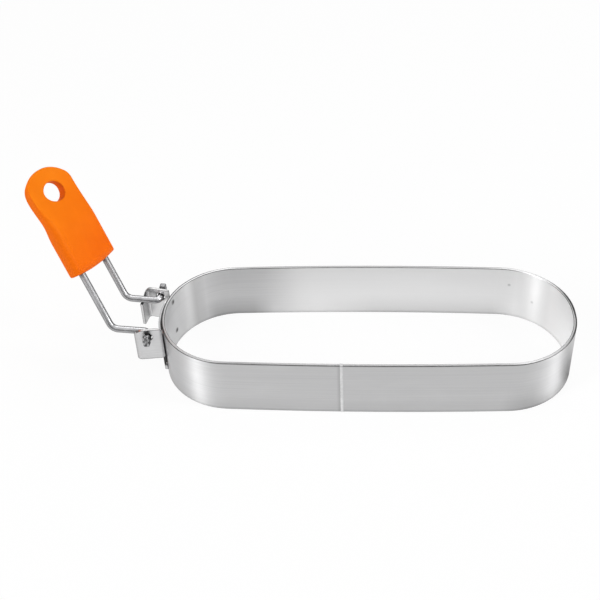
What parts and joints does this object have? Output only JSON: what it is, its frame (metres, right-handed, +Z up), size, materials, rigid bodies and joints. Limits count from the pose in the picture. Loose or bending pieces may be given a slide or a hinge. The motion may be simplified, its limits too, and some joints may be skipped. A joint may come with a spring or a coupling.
{
  "type": "egg ring",
  "caption": "Oblong steel egg ring with a hinged wire handle and silicone grip that folds over the band and has a hanging hole.",
  "frame": {"origin": "on the resting edge, in the middle of the band's wall at the handle's end", "axes": "+X along the ring away from the handle, +Y across it to the far side, +Z up"},
  "size_m": [0.2477, 0.0782, 0.0896],
  "materials": {
    "band_steel": "satin rolled strip with fine lines along the band",
    "weld_bead": "bright ground weld metal",
    "bracket_steel": "satin pressed sheet",
    "wire_steel": "drawn bright wire",
    "grip_silicone": "matte moulded silicone"
  },
  "bodies": {
    "ring": {"ring_band": "band_steel", "seam_weld": "weld_bead", "hinge_bracket": "bracket_steel", "spot_welds": "weld_bead"},
    "handle": {"wire_handle": "wire_steel", "grip": "grip_silicone"}
  },
  "joints": [
    {"name": "handle_fold", "type": "hinge", "parent": "ring", "child": "handle", "pos_m": [-0.00455, 0, 0.0267], "axis": [0.0645, 0.9979, 0], "range_deg": [0, 127]}
  ]
}
